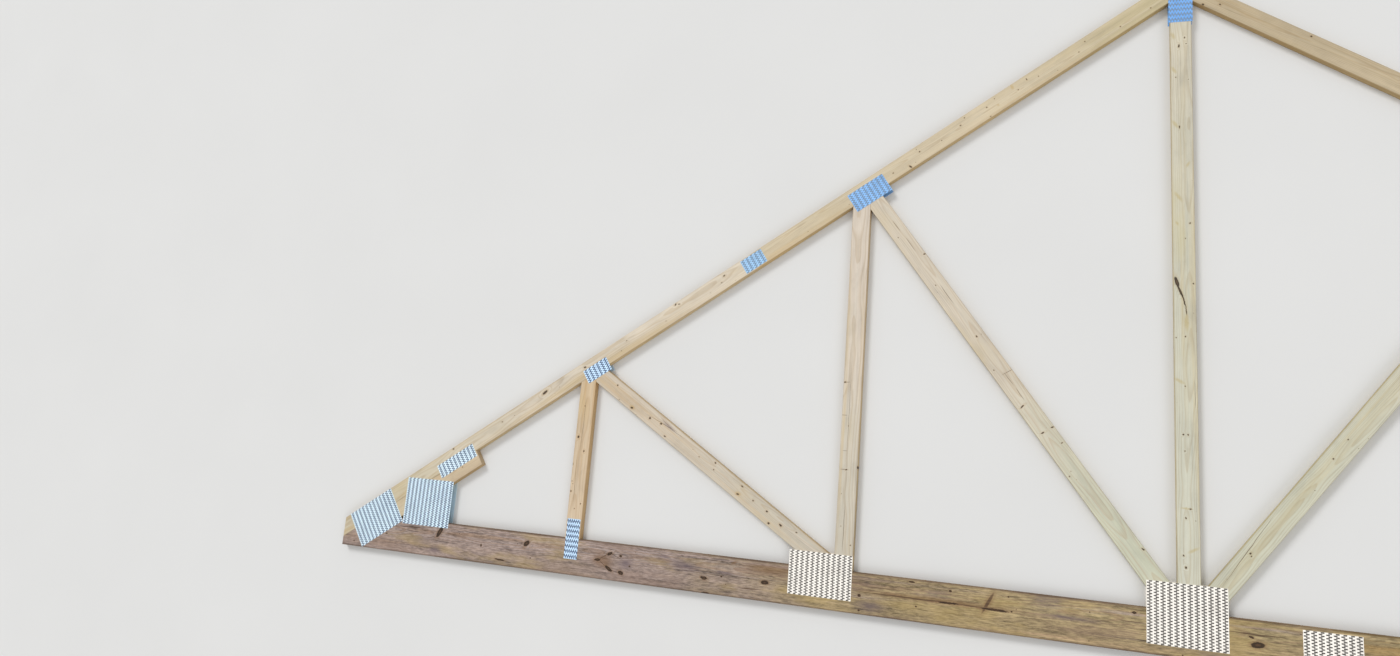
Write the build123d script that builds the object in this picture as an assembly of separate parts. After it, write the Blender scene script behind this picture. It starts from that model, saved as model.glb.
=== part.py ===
from build123d import *
import math
import os

# A pitched roof truss with metal connector plates, lying flat with its front face up.
# X runs along the span, Y up the roof and Z through the timber. Sizes are in mm.

# Overall shape
half_span = 4368.8
pitch_rise, pitch_run = 8.0, 12.0
butt_cut = 44.45            # height of the bottom chord's end under the top chord

# Sawn timber
timber_thickness = 38.1
web_depth = 88.9
top_chord_depth = 88.9
bottom_chord_depth = 184.15
slider_depth = 88.9
edge_ease = 3.0             # radius along the four long edges of every board

# Where the boards stand, as distances from the middle of the span
outer_post_x = 2890.0
inner_post_x = 1453.0
top_splice_x = 1980.0
bottom_splice_x = 503.0     # only on the right-hand side

# Connector plates: the slots are punched one inch apart, so lengths go up in inches
inch = 25.4
plate_thickness = 0.95
tip_plate = (12 * inch, 8 * inch)
heel_plate = (12 * inch, 10 * inch)
slider_plate = (10 * inch, 3 * inch)
outer_top_plate = (6 * inch, 3 * inch)
top_splice_plate = (5 * inch, 3 * inch)
inner_top_plate = (8 * inch, 4 * inch)
outer_foot_plate = (8 * inch, 3 * inch)
inner_foot_plate = (12 * inch, 8 * inch)
king_foot_plate = (12 * inch, 10 * inch)
peak_plate = (8 * inch, 4 * inch)
bottom_splice_plate = (8 * inch, 6 * inch)

# How each plate is set against the timber
tip_plate_margin = 1.0      # inside the roof edge and above the bearing edge
heel_plate_gap = 2.0        # between the corners of the two heel plates
heel_plate_overlap = 27.0   # on the bottom chord
slider_plate_gap = 12.0     # from the heel plate's top up to the slider plate's lowest corner
slider_past_plate = 7.0     # how far the slider runs on past its plate
slider_plate_rise = 8.0     # plate centre above the underside of the top chord
outer_top_plate_shift = 50.0    # from the post towards the ridge
outer_top_plate_rise = 8.0
inner_top_plate_shift = 44.0
inner_top_plate_rise = 14.0
inner_foot_plate_shift = 109.0  # from the post towards the heel
inner_foot_plate_overlap = 132.0
king_foot_plate_shift = -10.0
king_foot_plate_overlap = 142.0
outer_foot_plate_overlap = 104.0
peak_plate_below_ridge = 38.0
bottom_splice_plate_low = 18.0

# Values worked out from the sizes above
pitch = math.atan2(pitch_rise, pitch_run)
slope = pitch_rise / pitch_run
top_chord_plumb = top_chord_depth / math.cos(pitch)
ridge_under = butt_cut + half_span * slope      # underside of the top chords at the ridge
ridge_top = ridge_under + top_chord_plumb
timber_z = plate_thickness + timber_thickness / 2
along_roof = Vector(math.cos(pitch), math.sin(pitch))
up_roof = Vector(-math.sin(pitch), math.cos(pitch))


def under_chord(x):
    """Point on the underside of the left top chord, x being negative there."""
    return Vector(x, ridge_under + x * slope)


def under_chord_at(y):
    """Point on the underside of the left top chord at height y."""
    return Vector((y - ridge_under) / slope, y)


def trim(body, point, away):
    """Takes off everything beyond the line through point, on the side away points to."""
    far = 4 * half_span
    blade = Box(far, far, far, align=(Align.CENTER, Align.CENTER, Align.MIN))
    plane = Plane(origin=(point.X, point.Y, timber_z), x_dir=(0, 0, 1), z_dir=(away.X, away.Y, 0))
    return body - plane * blade


def board(start, end, depth, trims):
    """A board with eased long edges along start-end, trimmed by (point, away) lines."""
    run = (end - start).normalized()
    spare = 2 * depth                           # extra length for the trims to take off
    begin = start - run * spare
    plane = Plane(origin=(begin.X, begin.Y, timber_z), x_dir=(0, 0, 1), z_dir=(run.X, run.Y, 0))
    section = plane * RectangleRounded(timber_thickness, depth, edge_ease)
    body = extrude(section, (end - start).length + 2 * spare)
    for point, away in trims:
        body = trim(body, point, away)
    return body


LEFT, RIGHT, DOWN = Vector(-1, 0), Vector(1, 0), Vector(0, -1)
chord_line = (under_chord(0), up_roof)          # keeps a board below the left top chord
seat = Vector(0, bottom_chord_depth)            # keeps a board on top of the bottom chord


def post(x, trims):
    """An upright web centred on x, standing on the bottom chord."""
    return board(Vector(x, 0), Vector(x, ridge_under), web_depth, [(seat, DOWN)] + trims)


def diagonal(top_x, foot_x):
    """A web from the corner under the chord at top_x to the corner on the seat at foot_x."""
    top, foot = under_chord(top_x), Vector(foot_x, bottom_chord_depth)
    trims = [(top, LEFT), chord_line, (foot, RIGHT), (seat, DOWN)]
    return board(top, foot, web_depth, trims)


def top_chord(low_x, high_x, low_away, high_away):
    """One length of the left top chord between two cuts."""
    low, high = under_chord(low_x), under_chord(high_x)
    middle = up_roof * (top_chord_depth / 2)
    return board(low + middle, high + middle, top_chord_depth, [(low, low_away), (high, high_away)])


def slider():
    """The short board under the left top chord, from its level toe to its square end."""
    toe = under_chord_at(bottom_chord_depth)
    end = slider_plate_start() + along_roof * (slider_plate[0] + slider_past_plate)
    middle = up_roof * (-slider_depth / 2)
    return board(toe + middle, end + middle, slider_depth, [(seat, DOWN), (end, along_roof)])


def bottom_chord(start_x, end_x, trims):
    """One length of the bottom chord, square at both ends before its trims."""
    y = bottom_chord_depth / 2
    ends = [(Vector(start_x, y), LEFT), (Vector(end_x, y), RIGHT)]
    return board(Vector(start_x, y), Vector(end_x, y), bottom_chord_depth, ends + trims)


def left_boards():
    """Boards of the left half, keyed by their names without the side."""
    half_web = web_depth / 2
    outer, inner = -outer_post_x, -inner_post_x
    return {
        "top_chord_lower": top_chord(-half_span, -top_splice_x, LEFT, along_roof),
        "top_chord_upper": top_chord(-top_splice_x, 0, -along_roof, RIGHT),
        "slider": slider(),
        "outer_post": post(outer, [chord_line]),
        "inner_post": post(inner, [chord_line]),
        "outer_diagonal": diagonal(outer + half_web, inner - half_web),
        "inner_diagonal": diagonal(inner + half_web, -half_web),
    }


def middle_boards():
    """The king post and the two lengths of the bottom chord."""
    right_line = (under_chord(0), Vector(-up_roof.X, up_roof.Y))
    return {
        "king_post": post(0, [chord_line, right_line]),
        "bottom_chord_left": bottom_chord(-half_span, bottom_splice_x, [chord_line]),
        "bottom_chord_right": bottom_chord(bottom_splice_x, half_span, [right_line]),
    }


def sheet(size, centre, angle=0.0):
    """A connector plate on the back face, its length turned by angle from the span."""
    body = Box(*size, plate_thickness)
    return Pos(centre.X, centre.Y, plate_thickness / 2) * Rot(0, 0, math.degrees(angle)) * body


def on_line(x, rise):
    """Point at a height above the underside of the left top chord, square to it."""
    return under_chord(x) + up_roof * rise


def beside_seat(x, size_up, overlap):
    """Centre of a level plate that reaches down over the bottom chord by the overlap."""
    return Vector(x, bottom_chord_depth - overlap + size_up / 2)


def heel_centres():
    """The tip plate fits between roof edge and bearing edge, the heel plate stands beside it."""
    length, width = tip_plate
    drop = width / 2 + tip_plate_margin - top_chord_depth
    low_corner = along_roof * (length / 2) + up_roof * (width / 2 + drop)
    tip = under_chord_at(low_corner.Y + tip_plate_margin) - up_roof * drop
    side_corner = tip + along_roof * (length / 2) - up_roof * (width / 2)
    heel_x = side_corner.X + heel_plate_gap + heel_plate[0] / 2
    return tip, beside_seat(heel_x, heel_plate[1], heel_plate_overlap)


def slider_plate_start():
    """Point under the left top chord where the slider plate begins, clear of the heel plate."""
    tip, heel = heel_centres()
    low_edge = up_roof * (slider_plate_rise - slider_plate[1] / 2)
    return under_chord_at(heel.Y + heel_plate[1] / 2 + slider_plate_gap - low_edge.Y)


def left_plates():
    """Plates of the left half, keyed by their names without side and face."""
    tip, heel = heel_centres()
    slider_spot = slider_plate_start() + along_roof * (slider_plate[0] / 2) + up_roof * slider_plate_rise
    outer_top = on_line(-outer_post_x + outer_top_plate_shift, outer_top_plate_rise)
    inner_top = on_line(-inner_post_x + inner_top_plate_shift, inner_top_plate_rise)
    outer_foot = beside_seat(-outer_post_x, outer_foot_plate[0], outer_foot_plate_overlap)
    inner_foot_x = -inner_post_x - inner_foot_plate_shift
    inner_foot = beside_seat(inner_foot_x, inner_foot_plate[1], inner_foot_plate_overlap)
    return {
        "heel_tip_plate": sheet(tip_plate, tip, pitch),
        "heel_plate": sheet(heel_plate, heel),
        "slider_plate": sheet(slider_plate, slider_spot, pitch),
        "outer_top_plate": sheet(outer_top_plate, outer_top, pitch),
        "top_splice_plate": sheet(top_splice_plate, on_line(-top_splice_x, top_chord_depth / 2), pitch),
        "inner_top_plate": sheet(inner_top_plate, inner_top, pitch),
        "outer_foot_plate": sheet(outer_foot_plate, outer_foot, math.pi / 2),
        "inner_foot_plate": sheet(inner_foot_plate, inner_foot),
    }


def middle_plates():
    """Plates at the foot of the king post, at the ridge and over the bottom chord splice."""
    king_foot = beside_seat(king_foot_plate_shift, king_foot_plate[1], king_foot_plate_overlap)
    peak = Vector(0, ridge_top - peak_plate_below_ridge - peak_plate[0] / 2)
    splice = Vector(bottom_splice_x, bottom_splice_plate_low + bottom_splice_plate[1] / 2)
    return {
        "king_foot_plate": sheet(king_foot_plate, king_foot),
        "peak_plate": sheet(peak_plate, peak, math.pi / 2),
        "bottom_splice_plate": sheet(bottom_splice_plate, splice),
    }


def both_sides(shapes):
    """Adds the right-hand twin of every left-hand shape."""
    sides = {}
    for name, shape in shapes.items():
        sides[name + "_left"] = shape
        sides[name + "_right"] = mirror(shape, about=Plane.YZ)
    return sides


def both_faces(shapes):
    """Adds the front twin of every back plate."""
    faces = {}
    for name, shape in shapes.items():
        faces[name + "_back"] = shape
        faces[name + "_front"] = Pos(0, 0, timber_thickness + plate_thickness) * shape
    return faces


nodes = {**both_sides(left_boards()), **middle_boards()}
nodes.update(both_faces({**both_sides(left_plates()), **middle_plates()}))
os.makedirs("parts", exist_ok=True)
for node, shape in nodes.items():
    export_step(Pos(0, -ridge_top / 2, 0) * shape, f"parts/{node}.step")
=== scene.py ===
import math
import random

import bmesh
import bpy
from mathutils import Matrix, Vector


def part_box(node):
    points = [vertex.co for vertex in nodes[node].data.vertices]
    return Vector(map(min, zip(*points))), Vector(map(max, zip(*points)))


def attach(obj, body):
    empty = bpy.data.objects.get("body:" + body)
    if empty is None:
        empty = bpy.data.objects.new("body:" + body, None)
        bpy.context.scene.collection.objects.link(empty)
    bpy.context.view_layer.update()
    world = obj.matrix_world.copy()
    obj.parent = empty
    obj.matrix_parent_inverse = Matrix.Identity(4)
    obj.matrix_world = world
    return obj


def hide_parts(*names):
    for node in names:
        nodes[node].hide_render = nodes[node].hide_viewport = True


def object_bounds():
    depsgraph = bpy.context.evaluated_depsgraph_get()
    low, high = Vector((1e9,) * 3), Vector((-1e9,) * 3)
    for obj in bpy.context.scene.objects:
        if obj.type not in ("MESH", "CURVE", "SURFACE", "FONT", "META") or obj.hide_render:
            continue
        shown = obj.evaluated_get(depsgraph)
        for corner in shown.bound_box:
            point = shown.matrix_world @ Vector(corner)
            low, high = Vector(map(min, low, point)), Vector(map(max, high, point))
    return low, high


# The looks of a timber roof truss that lies on a pale floor with its front face up.
# Lengths are in metres. A board's own axes are u along it, v across its face and w through it.

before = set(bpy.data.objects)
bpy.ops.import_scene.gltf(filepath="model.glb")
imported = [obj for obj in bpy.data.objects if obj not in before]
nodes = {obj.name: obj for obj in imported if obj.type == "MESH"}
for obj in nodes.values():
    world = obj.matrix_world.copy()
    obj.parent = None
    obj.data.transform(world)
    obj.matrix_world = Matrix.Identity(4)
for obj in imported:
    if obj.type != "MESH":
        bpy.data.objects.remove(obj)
cad_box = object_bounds()
board_names = sorted(name for name in nodes if "plate" not in name)
plate_names = sorted(name for name in nodes if "plate" in name)
truss_thickness = cad_box[1][2] - cad_box[0][2]

# Camera, fitted to the photograph
focal_pixels, image_width = 950.1, 1400.0
optical_axis_above_middle = 47.1                                # pixels
sensor_width = 36.0                                             # mm
camera_place = Vector((-0.4687, -0.9343, 4.6194))
camera_turn, camera_tilt, camera_roll = -21.74, 11.13, 4.87     # degrees

# Surroundings
floor_reach = 60.0          # from the floor's middle to its sides
dome_strength = 0.62
backdrop_gain = 0.28        # how much brighter the lens and the zinc see the dome

# Punching of the connector plates
slot_column_pitch = 0.0254
slot_row_pitch = 0.00635
slot_length = 0.0124
slot_width = 0.0052
slot_stagger = 0.0037
slot_lip = 0.0013           # the rounded root of each tooth at a slot's end
slot_depth = 0.00085
slot_bend = 0.35            # where that root turns down, as a share of lip and depth

# Tone of the zinc, as lit and shaded copies of one plate with painted light, shade and sky
# reflection, and tone of the painted shade and sky reflection on the floor of its slots, dark and
# light
# A dark sheet at the bottom of each slot and the slot's long walls stand in for the shade inside
# the slot, over a little crushed wood
dark_slots = ("dark_slots", (0.020, 0.020, 0.022), (0.12, 0.105, 0.09))
shaded_slots = ("shaded_slots", (0.012, 0.030, 0.085), (0.060, 0.105, 0.24))
bright_slots = ("bright_slots", (0.13, 0.20, 0.30), (0.30, 0.41, 0.55))
# Every plate is the same galvanised steel; these copies paint its light, its shade and the sky's
# reflection into its colour
painted_light_zinc_tones = {
    "warm_zinc": ((0.965, 0.915, 0.85), dark_slots),
    "cool_zinc": ((0.73, 0.88, 1.0), shaded_slots),
    "dull_zinc": ((0.58, 0.77, 0.99), shaded_slots),
    "blue_zinc": ((0.34, 0.55, 0.78), bright_slots),
    "deep_blue_zinc": ((0.25, 0.47, 0.79), bright_slots),
    "deepest_blue_zinc": ((0.19, 0.41, 0.78), bright_slots),
}
# The painted light that each plate takes; the other plates take the painted sky light
plate_painted_zinc = {
    "king_foot": "warm_zinc", "inner_foot": "warm_zinc", "bottom_splice": "warm_zinc",
    "outer_top": "dull_zinc", "outer_foot": "dull_zinc", "top_splice": "blue_zinc",
    "inner_top": "deep_blue_zinc", "peak": "deepest_blue_zinc",
}

# Colour of the clear wood at the start and the end of a board, and the part of its length
# over which the first passes into the second
board_tones = {
    "top_chord_lower": ((0.61, 0.545, 0.41), (0.695, 0.615, 0.495), 0.16, 0.50),
    "top_chord_upper": ((0.63, 0.54, 0.385), (0.555, 0.48, 0.30), 0.60, 0.92),
    "top_chord_upper_right": ((0.52, 0.43, 0.29), (0.54, 0.45, 0.30), 0.3, 0.7),
    "slider": ((0.60, 0.51, 0.36), (0.60, 0.48, 0.33), 0.2, 0.8),
    "outer_post": ((0.65, 0.52, 0.37), (0.635, 0.50, 0.34), 0.3, 0.9),
    "inner_post": ((0.62, 0.57, 0.47), (0.68, 0.595, 0.495), 0.2, 0.7),
    "outer_diagonal": ((0.63, 0.545, 0.435), (0.58, 0.53, 0.435), 0.1, 0.9),
    "inner_diagonal": ((0.64, 0.57, 0.46), (0.57, 0.575, 0.445), 0.45, 0.85),
    "inner_diagonal_right": ((0.59, 0.585, 0.465), (0.63, 0.57, 0.45), 0.3, 0.9),
    "king_post": ((0.61, 0.60, 0.49), (0.64, 0.595, 0.475), 0.4, 0.95),
    "bottom_chord_left": ((0.335, 0.262, 0.232), (0.36, 0.278, 0.150), 0.42, 0.60),
    "bottom_chord_right": ((0.36, 0.278, 0.15), (0.355, 0.277, 0.165), 0.3, 0.9),
}

# How strongly each trait of the wood shows. "knot" is the largest radius of the random knots,
# "pin" the same on a board whose own knots are listed, "rim" where a knot ends in its own
# radii, and "stain" the tint of the stains.
fresh = {
    "ring": 0.34, "streak": 0.7, "line": 0.30, "band": 0.22, "fleck": 0.03, "film": 0.30,
    "patch": 0.0, "dirt": 0.5, "halo": 0.32, "knot": 0.010, "pin": 0.0024, "rim": 1.2,
    "stain": (0.88, 0.72, 0.40),
}
weathered = {
    "ring": 0.55, "streak": 0.9, "line": 1.1, "band": 0.75, "fleck": 0.66, "film": 1.0,
    "patch": 0.35, "dirt": 1.6, "halo": 0.6, "knot": 0.017, "pin": 0.0035, "rim": 1.6,
    "stain": (0.62, 0.42, 0.20),
}
knot_heart, knot_rim = (0.085, 0.045, 0.023), (0.028, 0.016, 0.010)
knotless = 0.35             # the share of places in a whorl that hold no knot
mark_depth = 0.05           # how deep knots and other marks go before they end
mark_wobble = 0.006         # how far a mark's outline wanders in all
check_drift = 0.012         # how far a crack wanders across the grain in all
ring_push = 0.007           # how far a knot pushes the year rings outwards
ring_ripple = 0.004         # how far the year rings ripple in all
pith_wander = 0.16          # how far the pith wanders across the face in all
pith_lean = 0.05            # and through the board
wood_relief = 0.0004        # depth of grain and knots
zinc_relief = 0.0002        # depth of spangle and scratches

# Noises in the wood: how often each changes in a metre along the board and across it, its
# detail, its roughness and its own part of the seed
grain_noises = {
    "wander": (0.55, 2.0, 1.0, 0.5, 0.0),
    "lean": (1.6, 3.0, 2.0, 0.5, 7.0),
    "ripple": (3.0, 30.0, 2.0, 0.5, 3.0),
    "drift": (9.0, 1.0, 3.0, 0.5, 5.0),
    "streak": (0.5, 22.0, 3.0, 0.6, 11.0),
    "line": (3.2, 95.0, 3.0, 0.65, 12.0),
    "fibre": (9.0, 420.0, 2.0, 0.5, 13.0),
    "band": (0.8, 34.0, 4.0, 0.7, 29.0),
    "blotch": (7.0, 18.0, 4.0, 0.65, 31.0),
    "fleck": (30.0, 170.0, 5.0, 0.72, 37.0),
    "film": (2.4, 7.0, 4.0, 0.6, 19.0),
    "yellowing": (1.7, 5.0, 3.0, 0.6, 23.0),
    "patch": (2.2, 9.0, 4.0, 0.6, 41.0),
}

# Marks on the boards in view, in mm and degrees: distance from the board's start, height above
# its middle line, length, width and turn
knots = {
    "bottom_chord_left": [
        (655, 44, 52, 17, 60), (1210, 38, 28, 17, 40), (930, -1, 10, 7, 90),
        (298, -1, 10, 5, 0), (1055, -62, 46, 6, -4), (1705, 39, 22, 11, 25),
        (1767, 34, 10, 9, 0), (1637, 2, 26, 9, 5), (1705, -35, 34, 12, -30),
        (1775, -48, 22, 13, -15), (2227, -20, 25, 11, -5), (2540, -5, 27, 14, 0),
        (2998, -8, 11, 8, 0), (3235, 80, 20, 5, 0), (4160, 65, 13, 7, 0),
        (4613, -2, 36, 17, 5), (4590, 25, 14, 6, -20), (3400, 8, 64, 6, 1),
        (3600, 4, 84, 7, -1), (2240, -89, 30, 6, 0)],
    "top_chord_lower_left": [
        (862, 36, 11, 8, 0), (1203, 13, 7, 6, 0), (1507, 21, 34, 13, 8), (1780, 16, 13, 8, -20),
        (2060, 15, 7, 6, 0), (2392, 35, 14, 7, 30), (2410, 27, 12, 6, -30),
        (2697, 22, 11, 8, 0), (2668, -3, 6, 5, 0)],
    "top_chord_upper_left": [
        (836, -10, 7, 5, 0), (924, -31, 18, 9, 110), (1001, 10, 7, 6, 0), (1119, -3, 6, 5, 0),
        (1234, 8, 8, 6, 0), (1270, 31, 6, 5, 0), (1385, 12, 7, 6, 0), (1374, -38, 6, 5, 0),
        (1664, 2, 5, 5, 0), (1551, 0, 6, 5, 0), (1926, 22, 6, 5, 0), (2091, -13, 5, 5, 0),
        (1611, 22, 10, 5, 80)],
    "king_post": [
        (178, 11, 11, 7, 10), (225, 19, 8, 6, 0), (380, 9, 7, 5, 0), (418, -9, 8, 5, 90),
        (658, 8, 6, 5, 0), (728, 14, 7, 6, 0), (728, -4, 7, 6, 0), (935, 4, 7, 5, 0),
        (1153, 0, 6, 5, 0), (1390, -35, 7, 6, 0), (1396, 31, 50, 15, 16),
        (1357, 19, 56, 9, 21), (1318, 5, 60, 6, 14), (1272, -4, 50, 4, 7),
        (1665, -26, 6, 6, 0), (2120, 11, 14, 5, 5), (2518, 9, 17, 7, 0), (2558, -15, 8, 6, 0),
        (2527, -21, 5, 5, 0)],
    "inner_post": [
        (466, 9, 10, 6, 100), (885, 37, 10, 6, 90), (120, -29, 6, 5, 0), (480, -44, 12, 5, 0)],
    "outer_post": [
        (240, 37, 9, 7, 0), (525, 27, 15, 12, 0), (452, -15, 11, 8, 0), (382, 44, 12, 6, 0),
        (180, -27, 7, 6, 0)],
    "outer_diagonal": [
        (145, 17, 9, 7, 0), (287, -27, 15, 9, 30), (405, -7, 11, 9, 0), (474, 8, 11, 9, 0),
        (530, -30, 12, 8, 0), (835, 32, 10, 8, 0), (848, 0, 7, 6, 0), (747, 2, 5, 5, 0),
        (1017, 27, 13, 6, 0), (1022, -17, 14, 8, 30), (1104, 7, 8, 7, 0), (1190, 10, 10, 8, 0),
        (1283, 1, 16, 9, 0), (1230, -30, 11, 9, 0), (1365, 23, 8, 6, 0)],
    "inner_diagonal": [
        (410, 38, 12, 6, 80), (883, 5, 9, 7, 0), (1057, -23, 6, 5, 0), (1262, -18, 20, 6, 100),
        (1407, 36, 12, 5, 80), (1405, -14, 16, 5, 80), (1485, 28, 8, 4, 80), (2020, 36, 12, 6, 20)],
    "inner_diagonal_right": [
        (318, 10, 10, 7, 0), (825, 7, 7, 6, 0), (922, 12, 6, 5, 0), (1480, -20, 9, 7, 0)],
    "slider": [],
}
checks = {
    "bottom_chord_left": [
        (3320, 9, 660, 6, 0), (3570, 30, 96, 13, 62), (4150, 28, 110, 4, 0),
        (4600, 38, 220, 5, 0), (450, 48, 180, 4, 2), (470, 30, 150, 4, -3),
        (1110, -6, 44, 4, 0), (2460, -43, 110, 5, 2), (3120, 36, 200, 3, 1),
        (1672, 22, 66, 4, 32), (1674, -18, 66, 4, -34), (1738, -44, 60, 4, -12),
        (1740, 30, 70, 3, -20)],
    "king_post": [(905, -34, 120, 2, 0)],
    "inner_post": [
        (195, 7, 215, 2.5, 0), (467, 24, 26, 3, 90), (555, 20, 22, 2, 90), (725, 32, 26, 2.5, 90),
        (885, 28, 26, 3, 95), (760, 10, 460, 1.5, 0)],
    "outer_post": [(300, 20, 300, 2, 2), (600, 5, 260, 2, -1)],
    "outer_diagonal": [(480, 14, 190, 2.5, 9), (560, 21, 120, 2, 3), (500, 27, 90, 2, -6)],
    "inner_diagonal": [
        (212, 11, 66, 2.5, 0), (330, 11, 80, 2.5, 0), (635, 10, 110, 2.5, -1),
        (1125, 8, 70, 2.5, 0), (1210, 8, 62, 2.5, -2), (1097, 22, 56, 2.5, 85)],
    "inner_diagonal_right": [(320, 22, 360, 2.5, 4)],
}
stains = {
    "bottom_chord_left": [
        (3570, 30, 110, 34, 62), (3330, 12, 640, 24, 0), (1665, 2, 120, 70, 0),
        (2378, 69, 34, 14, 20), (2560, 60, 260, 40, 0)],
    "king_post": [
        (250, -18, 46, 12, 120), (419, 8, 40, 8, 88), (958, 26, 46, 14, 60),
        (1215, -5, 76, 20, 4), (1790, 20, 50, 15, 35), (1665, 26, 24, 9, 30),
        (1940, -21, 30, 11, -25), (2134, 28, 46, 15, 35), (2400, 31, 36, 15, 30),
        (2570, 33, 34, 16, 20)],
    "top_chord_upper_left": [(1536, 29, 26, 14, 80), (1433, -10, 12, 9, 0)],
    "outer_diagonal": [(1022, -14, 34, 20, 20), (287, -24, 34, 22, 0)],
}
smudges = {
    "bottom_chord_left": [
        (635, -51, 120, 62, 0), (1800, 0, 90, 60, 0), (2110, 28, 250, 60, -5),
        (2330, 17, 120, 18, 0), (3050, -50, 170, 76, 0), (2010, 57, 70, 24, 0),
        (3900, 10, 300, 30, 0)],
    "outer_diagonal": [(520, 24, 110, 26, 0)],
}
no_mark_near = 9.0          # a distance beyond the reach of every mark, in its own radii


def tinted(colour, *factors):
    """The colour with its red, green and blue each times its factor, up to full."""
    return tuple(min(1.0, part * factor) for part, factor in zip(colour, factors))


def linked(obj):
    """The object, now part of the scene."""
    bpy.context.scene.collection.objects.link(obj)
    return obj


class Number:
    """A value that varies over a surface; arithmetic on it adds Math nodes."""

    def __init__(self, finish, socket):
        self.finish, self.socket = finish, socket

    def math(self, operation, *others):
        return self.finish.math(operation, self, *others)

    def __add__(self, other):
        return self.finish.math("ADD", self, other)

    def __sub__(self, other):
        return self.finish.math("SUBTRACT", self, other)

    def __rsub__(self, other):
        return self.finish.math("SUBTRACT", other, self)

    def __mul__(self, other):
        return self.finish.math("MULTIPLY", self, other)

    def __truediv__(self, other):
        return self.finish.math("DIVIDE", self, other)

    def __rtruediv__(self, other):
        return self.finish.math("DIVIDE", other, self)

    def __pow__(self, other):
        return self.finish.math("POWER", self, other)

    __radd__ = __add__
    __rmul__ = __mul__

    def ramp(self, low, high):
        """0 below low and 1 above high, smooth between them; low may be the larger."""
        values = {"Value": self, "From Min": low, "From Max": high}
        return self.finish.add("MapRange", {"interpolation_type": "SMOOTHSTEP"}, values)


class Finish:
    """A material, or the world, under construction."""

    def __init__(self, owner, surface="Principled BSDF"):
        owner.use_nodes = True
        self.owner, self.tree = owner, owner.node_tree
        self.surface = self.tree.nodes[surface]

    def node(self, kind, settings=None, inputs=None):
        """Adds a node: its settings first, then the values or links of its sockets."""
        node = self.tree.nodes.new("ShaderNode" + kind)
        for name, value in (settings or {}).items():
            setattr(node, name, value)
        for name, value in (inputs or {}).items():
            self.feed(node.inputs[name], value)
        return node

    def add(self, kind, settings=None, inputs=None, out=0):
        return Number(self, self.node(kind, settings, inputs).outputs[out])

    def feed(self, socket, value):
        if isinstance(value, Number):
            self.tree.links.new(value.socket, socket)
        else:
            socket.default_value = value

    def set(self, **values):
        for name, value in values.items():
            self.feed(self.surface.inputs[name.replace("_", " ")], value)

    def math(self, operation, *values):
        return self.add("Math", {"operation": operation}, dict(enumerate(values)))

    def vector(self, operation, *values, out=0):
        return self.add("VectorMath", {"operation": operation}, dict(enumerate(values)), out)

    def combined(self, u=0.0, v=0.0, w=0.0):
        return self.add("CombineXYZ", None, {0: u, 1: v, 2: w})

    def parts(self, place):
        outputs = self.node("SeparateXYZ", None, {0: place}).outputs
        return [Number(self, output) for output in outputs]

    def mix(self, share, first, second, blend="MIX"):
        """Colours, with the share of the second; a plain colour is three numbers."""
        first, second = [(*c, 1.0) if isinstance(c, tuple) else c for c in (first, second)]
        settings = {"data_type": "RGBA", "blend_type": blend}
        return self.add("Mix", settings, {0: share, 6: first, 7: second}, 2)

    def noise(self, place, scale, detail=2.0, seed=0.0, roughness=0.5):
        values = {"Vector": place, "W": seed, "Scale": scale, "Detail": detail,
                  "Roughness": roughness}
        return self.add("TexNoise", {"noise_dimensions": "4D"}, values)

    def stretched(self, place, along, across):
        """The place with its first axis scaled by along, and the others by across."""
        return self.vector("MULTIPLY", place, (along, across, across))

    def bump(self, height, distance):
        normal = self.add("Bump", None, {"Height": height, "Distance": distance})
        self.feed(self.surface.inputs["Normal"], normal)


class Board:
    """A board's middle, axes and size, from the mesh of its CAD node."""

    def __init__(self, name):
        self.name, self.kind = name, name.replace("_left", "").replace("_right", "")
        self.mesh = nodes[name].data
        across = self.widest_side()
        self.along = Vector((across.y, -across.x, 0.0))
        if (round(self.along.x, 3), self.along.y) < (0, 0):
            self.along = -self.along
        self.across = Vector((-self.along.y, self.along.x, 0.0))
        low_u, high_u = self.reach(self.along)
        low_v, high_v = self.reach(self.across)
        self.middle = self.along * ((low_u + high_u) / 2) + self.across * ((low_v + high_v) / 2)
        self.middle.z = truss_thickness / 2
        self.length, self.depth = high_u - low_u, high_v - low_v

    def widest_side(self):
        """Direction square to the long edges, which have the most area of the upright faces."""
        areas = {}
        for face in self.mesh.polygons:
            x, y, z = (round(part, 3) for part in face.normal)
            if abs(z) < 0.1:
                facing = (x, y) if (y, x) > (0, 0) else (-x, -y)
                areas[facing] = areas.get(facing, 0.0) + face.area
        return Vector((*max(areas, key=areas.get), 0.0)).normalized()

    def reach(self, direction):
        places = [vertex.co.dot(direction) for vertex in self.mesh.vertices]
        return min(places), max(places)

    def marks(self, table):
        """The board's marks in a table; one kept for both sides is only used on the left."""
        if self.name in table or self.name.endswith("right"):
            return table.get(self.name, [])
        return table.get(self.kind, [])

    def has_listed_knots(self):
        return self.name in knots or self.kind in knots


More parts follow.
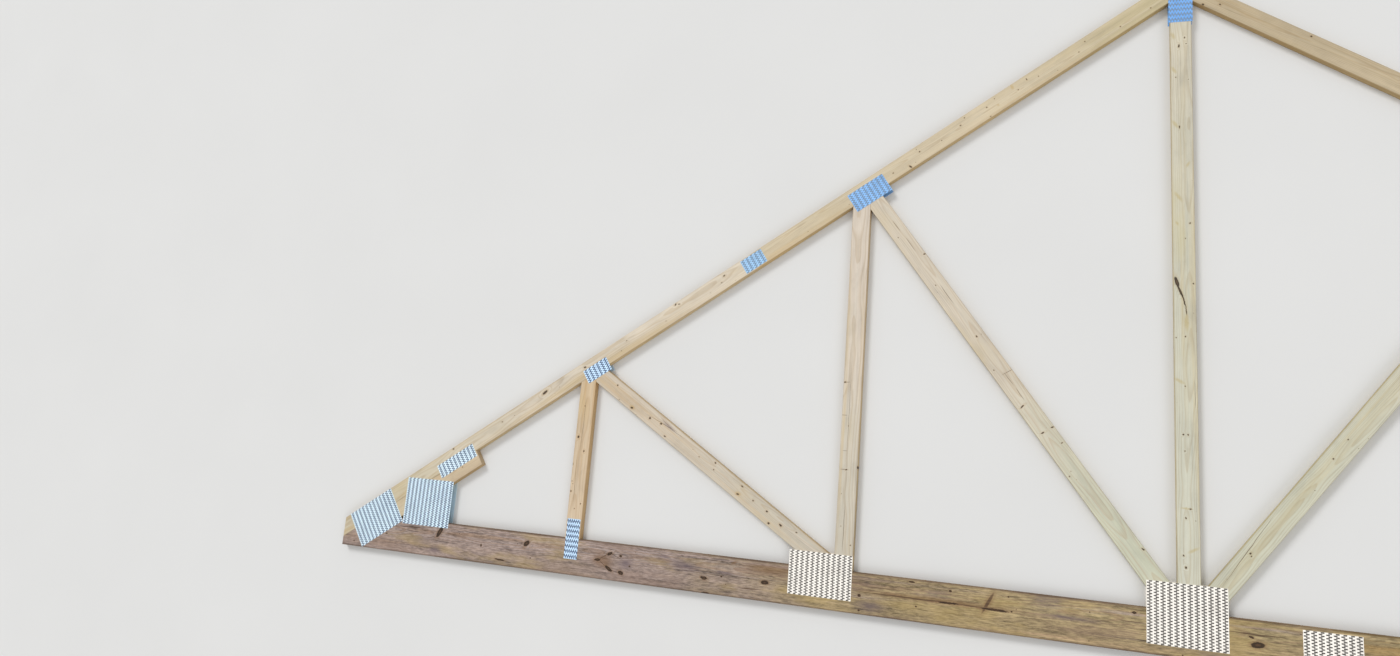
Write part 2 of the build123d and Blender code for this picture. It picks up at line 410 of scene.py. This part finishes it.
class Wood(Finish):
    """Sawn softwood, cut for one board from a log whose pith runs beside it."""

    def __init__(self, board, look, seed):
        super().__init__(bpy.data.materials.new(board.name + "_wood"))
        self.board, self.look, self.seed = board, look, seed
        tones = board_tones.get(board.name) or board_tones[board.kind]
        self.tone, self.far_tone, *self.passing = tones
        turn = (0.0, 0.0, math.atan2(board.along.y, board.along.x))
        axes = {"Vector": self.add("TexCoord", out="Object"),
                "Location": board.middle, "Rotation": turn}
        self.place = self.add("Mapping", {"vector_type": "TEXTURE"}, axes)
        self.u, self.v, self.w = self.parts(self.place)
        self.noises = {"cloud": self.noise(self.place, 2.3, 4.0, seed + 17.0, 0.6)}

        rng = random.Random(seed)
        whorl_pitch = rng.uniform(0.34, 0.46)
        pith_v = rng.uniform(-0.3, 0.3) * board.depth
        pith_w = rng.choice((-1, 1)) * rng.uniform(0.03, 0.07)
        ring_width = rng.uniform(0.0042, 0.0065)

        self.uneven = self.vector("ADD", self.place, self.wobble())
        self.to_knot = self.from_knots(whorl_pitch)
        self.late = self.latewood(pith_v, pith_w, ring_width)
        self.spot = self.to_knot.ramp(look["rim"], look["rim"] - 0.4)
        colour = self.with_marks(self.under_weather(self.clear_wood()))
        self.dress(self.with_cut_faces(colour))

    def grain(self, name):
        """One of the noises in the wood, made when it is first wanted."""
        if name not in self.noises:
            along, across, detail, roughness, own_seed = grain_noises[name]
            where = self.stretched(self.place, along, across)
            self.noises[name] = self.noise(where, 1.0, detail, self.seed + own_seed, roughness)
        return self.noises[name]

    def wobble(self):
        """Small shifts that make the outlines of marks uneven."""
        values = {"Vector": self.place, "Scale": 90.0, "Detail": 1.0}
        noise = self.add("TexNoise", {"noise_dimensions": "3D"}, values, 1)
        return self.vector("MULTIPLY_ADD", noise, (mark_wobble,) * 3, (-mark_wobble / 2,) * 3)

    def from_mark(self, place, u, v, long, wide, turn):
        """Distance from the middle of an oval mark on the front face, 1 at its rim; sizes in
        mm, turn in degrees. A mark tapers towards the back, as a knot does."""
        axes = {"Vector": place, "Location": (u / 1000, v / 1000, truss_thickness / 2),
                "Rotation": (0.0, 0.0, math.radians(turn)),
                "Scale": (long / 2000, wide / 2000, mark_depth)}
        own = self.add("Mapping", {"vector_type": "TEXTURE"}, axes)
        return self.vector("LENGTH", own, out=1)

    def from_nearest(self, place, marks):
        """Distance from the nearest of the marks, in its own radii."""
        nearest, half_length = no_mark_near, self.board.length * 500      # in mm
        for u, *rest in marks:
            distance = self.from_mark(place, u - half_length, *rest)
            nearest = distance.math("MINIMUM", nearest)
        return nearest

    def from_whorls(self, pitch, largest):
        """Distance from small random knots: up to three abreast, about one row each pitch."""
        cell = (self.u / pitch).math("FLOOR")
        nearest = no_mark_near
        for rank in range(3):
            values = {"Vector": self.combined(cell, self.seed, float(rank))}
            random_place = self.add("TexWhiteNoise", {"noise_dimensions": "3D"}, values, 1)
            shift, side, size = self.parts(random_place)
            du = self.u - (cell + 0.5 + (shift - 0.5) * 0.5) * pitch
            dv = self.v - (side - 0.5) * (0.9 * self.board.depth)
            distance = (du * du * 0.6 + dv * dv) ** 0.5
            size = (size - knotless).math("MAXIMUM", 0.0)
            radius = size * (largest / (1.0 - knotless)) + 1e-5
            nearest = (distance / radius).math("MINIMUM", nearest)
        return nearest

    def from_knots(self, whorl_pitch):
        largest = self.look["pin"] if self.board.has_listed_knots() else self.look["knot"]
        listed = self.from_nearest(self.uneven, self.board.marks(knots))
        return self.from_whorls(whorl_pitch, largest).math("MINIMUM", listed)

    def latewood(self, pith_v, pith_w, ring_width):
        """Dark part of the year rings, which knots push outwards."""
        wander, lean, ripple = (self.grain(name) - 0.5 for name in ("wander", "lean", "ripple"))
        from_v = self.v - wander * pith_wander - pith_v
        from_w = self.w + lean * pith_lean - pith_w
        pushed = self.to_knot.ramp(3.6, 0.8) * ring_push
        from_pith = (from_v * from_v + from_w * from_w) ** 0.5
        year = ((from_pith + ripple * ring_ripple + pushed) / ring_width).math("FRACT")
        return year.ramp(0.45, 0.9) * (1.0 - year.ramp(0.93, 1.0))

    def coated(self, colour, *coats):
        """The colour under coats of the board's tone, each a share and the factors of its tint."""
        for share, tint in coats:
            colour = self.mix(share, colour, tinted(self.tone, *tint))
        return colour

    def clear_wood(self):
        look = self.look
        streak, cloud, fibre, line = map(self.grain, ("streak", "cloud", "fibre", "line"))
        band, fleck, blotch = map(self.grain, ("band", "fleck", "blotch"))
        passing = self.u / self.board.length + 0.5 + (cloud - 0.5) * 0.35
        colour = self.mix(passing.ramp(*self.passing), self.tone, self.far_tone)
        colour = self.coated(
            colour,
            (streak.ramp(0.50, 0.72) * look["streak"], (0.94, 0.80, 0.58)),
            (streak.ramp(0.46, 0.28) * look["streak"], (1.08, 1.09, 1.13)),
            (self.late * look["ring"], (0.72, 0.58, 0.42)))

        bands = band.ramp(0.50, 0.66) * 0.24 - band.ramp(0.50, 0.36) * 0.34
        lines = line.ramp(0.52, 0.66) * -0.30 + line.ramp(0.46, 0.34) * 0.16
        shade = fibre * 0.16 + cloud * 0.20 + bands * look["band"] + lines * look["line"] + 0.862
        shade = shade + (fleck.ramp(0.36, 0.64) - 0.5) * look["fleck"]
        shade = shade + (0.47 - blotch).ramp(-0.02, 0.14) * 0.16 * look["film"]
        shade = shade - blotch.ramp(0.50, 0.66) * 0.24 * look["film"]
        grey = self.add("CombineColor", None, {0: shade, 1: shade, 2: shade})
        return self.mix(1.0, colour, grey, "MULTIPLY")

    def under_weather(self, colour):
        """Grey film and yellow patches from the weather, and dirt along the long edges."""
        film, yellowing, look = self.grain("film"), self.grain("yellowing"), self.look
        colour = self.coated(
            colour,
            (film.ramp(0.56, 0.78) * look["film"], (0.50, 0.50, 0.58)),
            (yellowing.ramp(0.55, 0.75) * 0.45, (1.02, 0.93, 0.66)))
        if look["patch"]:
            patch = self.grain("patch")
            yellow = tinted(self.far_tone, 1.30, 1.22, 0.78)
            colour = self.mix(patch.ramp(0.50, 0.64) * look["patch"], colour, yellow)
            brown = patch.ramp(0.47, 0.34) * look["patch"]
            colour = self.coated(colour, (brown, (0.86, 0.72, 0.60)))
        to_edge = self.v.math("ABSOLUTE") / (self.board.depth / 2)
        dirt = to_edge.ramp(0.88, 1.0) * (film * 1.6 - 0.3).math("MAXIMUM", 0.0)
        return self.coated(colour, (dirt * look["dirt"], (0.42, 0.36, 0.28)))

    def with_marks(self, colour):
        """Smudges, stains and checks, then the knots with the darker wood round them."""
        board, look = self.board, self.look
        if board.marks(smudges):
            near = self.from_nearest(self.uneven, board.marks(smudges))
            near = near + (self.grain("film") - 0.5) * 1.2
            colour = self.coated(colour, (near.ramp(1.3, 0.0) * 0.62, (0.40, 0.38, 0.52)))
        if board.marks(stains):
            near = self.from_nearest(self.uneven, board.marks(stains))
            colour = self.coated(colour, (near.ramp(1.5, 0.3) * 0.55, look["stain"]))
        if board.marks(checks):
            drift = self.combined(v=self.grain("drift") * check_drift - check_drift / 2)
            near = self.from_nearest(self.vector("ADD", self.place, drift), board.marks(checks))
            share = near.ramp(1.3, 0.7) * (self.grain("line") * 1.2 + 0.2)
            colour = self.coated(colour, (share, (0.28, 0.20, 0.14)))
        halo = self.to_knot.ramp(2.6, 1.0) * look["halo"]
        colour = self.coated(colour, (halo, (0.80, 0.60, 0.36)))
        knot = self.mix(self.to_knot.ramp(0.2, 0.7), knot_heart, knot_rim)
        return self.mix(self.spot * (1.0 - self.grain("fibre") * 0.15), colour, knot)

    def with_cut_faces(self, colour):
        """Painted warm shade, golden, on the long side faces, and darker end grain."""
        outward = self.add("NewGeometry", out="Normal")
        to_side = self.vector("DOT_PRODUCT", outward, self.board.across, out=1).math("ABSOLUTE")
        to_end = self.vector("DOT_PRODUCT", outward, self.board.along, out=1).math("ABSOLUTE")
        # painted warm shade: the long side faces are tinted golden and a little darker
        painted_warm_side_shade = self.mix(1.0, colour, (0.97, 0.86, 0.66), "MULTIPLY")
        colour = self.mix(to_side.ramp(0.5, 0.9), colour, painted_warm_side_shade)
        return self.coated(colour, (to_end.ramp(0.3, 0.6) * 0.5, (0.62, 0.50, 0.38)))

    def dress(self, colour):
        fibre, line = self.grain("fibre"), self.grain("line")
        roughness = fibre * 0.18 + self.late * -0.08 + self.spot * -0.12 + 0.60
        self.set(Base_Color=colour, Roughness=roughness, Specular_IOR_Level=0.2)
        self.bump(self.late * 0.35 + fibre * 0.35 + line * 0.3 - self.spot * 0.6, wood_relief)


def galvanised(name, tone):
    """Zinc with faint spangle and handling marks, in a tone that carries painted light, shade and
    sky reflection.
    """
    finish = Finish(bpy.data.materials.new(name))
    place = finish.add("TexCoord", out="Object")
    spangle = finish.add("TexVoronoi", {"feature": "F1"}, {"Vector": place, "Scale": 110.0}, 1)
    grain = finish.parts(spangle)[0]
    haze = finish.noise(place, 14.0, 4.0, 1.0, 0.6)
    scratch = finish.noise(finish.stretched(place, 40.0, 900.0), 1.0, 1.0, 5.0)
    colour = finish.mix(grain * 0.7, tinted(tone, 1.06, 1.06, 1.06), tone)
    colour = finish.mix(haze.ramp(0.45, 0.75) * 0.6, colour, tinted(tone, 0.78, 0.78, 0.78))
    finish.set(Base_Color=colour, Metallic=0.6, Roughness=grain * 0.12 + haze * 0.18 + 0.44)
    finish.bump(scratch * 0.4 + grain * 0.6, zinc_relief)
    return finish.owner


def painted_slot_shade(name, dark, light):
    """Crushed wood and tooth roots at the bottom of a slot, painted dark as shade; the bright sort
    holds a painted sky reflection.
    """
    finish = Finish(bpy.data.materials.new(name))
    place = finish.add("TexCoord", out="Object")
    crumbs = finish.noise(place, 900.0, 2.0)
    finish.set(Base_Color=finish.mix(crumbs, dark, light), Roughness=crumbs * 0.2 + 0.6)
    return finish.owner


def plate_axes(node):
    """Middle of the lower face, direction, length, width and thickness of a plate's CAD node."""
    corners = {(round(v.co.x, 5), round(v.co.y, 5)) for v in node.data.vertices}
    middle = Vector((sum(c[0] for c in corners), sum(c[1] for c in corners), 0.0)) / len(corners)
    spokes = [Vector((*corner, 0.0)) - middle for corner in corners]
    spokes.sort(key=lambda spoke: math.atan2(spoke.y, spoke.x))
    sides = spokes[1] - spokes[0], spokes[2] - spokes[1]
    long_side, short_side = (pick(sides, key=lambda side: side.length) for pick in (max, min))
    low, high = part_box(node.name)
    middle.z = low.z
    return middle, long_side.normalized(), long_side.length, short_side.length, high.z - low.z


def add_slot(mesh, middle_u, middle_v, cell, top):
    """One slot in its cell: the flat round it, two rounded tooth roots, and side walls and floor in
    the painted shade of the slot material.
    """
    half, side = slot_length / 2, slot_width / 2
    outline, bend_reach = [], half + slot_lip * slot_bend
    for reach, drop in ((half + slot_lip, 0.0), (bend_reach, slot_bend), (half, 1.0)):
        z = top - slot_depth * drop
        outline.append([mesh.verts.new((middle_u + su * reach, middle_v + sv * side, z))
                        for su, sv in ((-1, -1), (1, -1), (1, 1), (-1, 1))])
    rim, bend, floor = outline
    for k in range(4):
        mesh.faces.new((cell[k], cell[(k + 1) % 4], rim[(k + 1) % 4], rim[k]))
    for k in (1, 3):
        after = (k + 1) % 4
        mesh.faces.new((rim[k], rim[after], bend[after], bend[k])).smooth = True
        mesh.faces.new((bend[k], bend[after], floor[after], floor[k])).smooth = True
    for k in (0, 2):
        after = (k + 1) % 4
        wall = mesh.faces.new((rim[k], rim[after], bend[after], floor[after], floor[k], bend[k]))
        # the long side walls take the painted shade of the slot floor
        wall.material_index = 1
    mesh.faces.new(floor).material_index = 1


def punched_plate(length, width, thickness):
    """A sheet punched with columns of staggered slots, one column to the inch of its length."""
    mesh = bmesh.new()
    columns, rows = round(length / slot_column_pitch), round(width / slot_row_pitch)
    half_band = (slot_length / 2 + slot_lip + slot_stagger) * 1.02      # a little beyond the slots
    lines = [-length / 2]
    for i in range(columns):
        middle_u = (i + 0.5 - columns / 2) * slot_column_pitch
        lines += [middle_u - half_band, middle_u + half_band]
    lines.append(length / 2)
    grid = [[mesh.verts.new((x, (j / rows - 0.5) * width, thickness)) for j in range(rows + 1)]
            for x in lines]
    for i in range(len(lines) - 1):
        for j in range(rows):
            cell = [grid[i][j], grid[i + 1][j], grid[i + 1][j + 1], grid[i][j + 1]]
            if i % 2:
                stagger = slot_stagger if j % 2 else -slot_stagger
                middle_u = (lines[i] + lines[i + 1]) / 2 + stagger
                add_slot(mesh, middle_u, (j + 0.5 - rows / 2) * slot_row_pitch, cell, thickness)
            else:
                mesh.faces.new(cell)
    top = [grid[0], [line[-1] for line in grid], grid[-1][::-1], [line[0] for line in grid][::-1]]
    foot = [mesh.verts.new((su * length / 2, sv * width / 2, 0.0))
            for su, sv in ((-1, -1), (-1, 1), (1, 1), (1, -1))]
    for k in range(4):
        mesh.faces.new(top[k] + [foot[(k + 1) % 4], foot[k]])
    mesh.faces.new(foot)
    bmesh.ops.recalc_face_normals(mesh, faces=mesh.faces)
    return as_data(mesh, "punched_plate")


def as_data(mesh, name):
    data = bpy.data.meshes.new(name)
    mesh.to_mesh(data)
    mesh.free()
    return data


def dress_boards():
    """Gives every board its own piece of wood."""
    for seed, name in enumerate(board_names):
        board = Board(name)
        look = weathered if board.kind == "bottom_chord" else fresh
        board.mesh.materials.clear()
        board.mesh.materials.append(Wood(board, look, seed + 1.0).owner)


def dress_plates():
    """Sets a punched plate over each plain sheet, slots outwards."""
    painted_slot_shades = {slots: painted_slot_shade(*slots) for slots in (dark_slots, shaded_slots, bright_slots)}
    zincs = {}
    for name, (tone, slots) in painted_light_zinc_tones.items():
        zincs[name] = galvanised(name, tone), painted_slot_shades[slots]
    sheets = {}
    for name in plate_names:
        middle, along, length, width, thickness = plate_axes(nodes[name])
        # each plate takes a zinc copy with its own painted light, shade and sky reflection
        zinc = plate_painted_zinc.get(name.split("_plate")[0], "cool_zinc")
        key = (round(length, 4), round(width, 4), zinc)
        if key not in sheets:
            sheets[key] = punched_plate(length, width, thickness)
            for material in zincs[zinc]:
                sheets[key].materials.append(material)
        plate = linked(bpy.data.objects.new("punched_" + name, sheets[key]))
        turn = Matrix.Rotation(math.atan2(along.y, along.x), 4, "Z")
        if name.endswith("back"):
            turn = turn @ Matrix.Rotation(math.pi, 4, "X")
            middle.z += thickness
        plate.matrix_world = Matrix.Translation(middle) @ turn
        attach(plate, "root")
        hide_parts(name)


def lay_floor():
    """A wide pale floor under the truss."""
    mesh = bmesh.new()
    bmesh.ops.create_grid(mesh, x_segments=8, y_segments=8, size=floor_reach)
    floor = linked(bpy.data.objects.new("floor", as_data(mesh, "floor")))
    floor.location.z = cad_box[0][2]
    finish = Finish(bpy.data.materials.new("pale_floor"))
    tint = finish.noise(finish.add("TexCoord", out="Object"), 1.2, 3.0)
    colour = finish.mix(tint, (0.74, 0.74, 0.73), (0.79, 0.79, 0.78))
    finish.set(Base_Color=colour, Roughness=tint * 0.1 + 0.75)
    floor.data.materials.append(finish.owner)


def add_lamp(name, towards, softness, strength):
    """A distant lamp, so that the floor stays even; softness is its width in degrees."""
    light = bpy.data.lights.new(name, "SUN")
    light.angle, light.energy = math.radians(softness), strength
    lamp = linked(bpy.data.objects.new(name, light))
    lamp.rotation_euler = Vector(towards).to_track_quat("-Z", "Y").to_euler()


def light_studio():
    """A soft dome that the lens and the zinc see as a pale backdrop, with a key and a fill lamp."""
    dome = Finish(bpy.data.worlds.new("soft_dome"), "Background")
    to_lens = dome.add("LightPath", out="Is Camera Ray")
    backdrop = to_lens.math("MAXIMUM", dome.add("LightPath", out="Is Glossy Ray"))
    dome.set(Color=(1.0, 1.0, 1.0, 1.0), Strength=backdrop * backdrop_gain + dome_strength)
    bpy.context.scene.world = dome.owner
    add_lamp("key", towards=(6.0, -9.0, -10.0), softness=20.0, strength=1.27)
    add_lamp("fill", towards=(-6.0, 5.0, -6.0), softness=30.0, strength=0.45)


def place_camera():
    turn, tilt, roll = (math.radians(angle) for angle in (camera_turn, camera_tilt, camera_roll))
    # Out of the photograph, x runs right, y up the roof and z towards the viewer
    view = Vector((math.sin(turn) * math.cos(tilt), math.sin(tilt),
                   -math.cos(turn) * math.cos(tilt)))
    level = Vector((math.cos(turn), 0.0, math.sin(turn)))
    upright = level.cross(view)
    right = level * math.cos(roll) + upright * math.sin(roll)
    up = right.cross(view)
    lens = bpy.data.cameras.new("camera")
    lens.sensor_width = sensor_width
    lens.lens = focal_pixels / image_width * sensor_width
    lens.shift_y = -optical_axis_above_middle / image_width
    camera = linked(bpy.data.objects.new("camera", lens))
    rows = Matrix((right, up, -view)).transposed().to_4x4()
    camera.matrix_world = Matrix.Translation(camera_place) @ rows
    bpy.context.scene.camera = camera


dress_boards()
dress_plates()
lay_floor()
light_studio()
place_camera()
bpy.context.scene.view_settings.view_transform = "Standard"
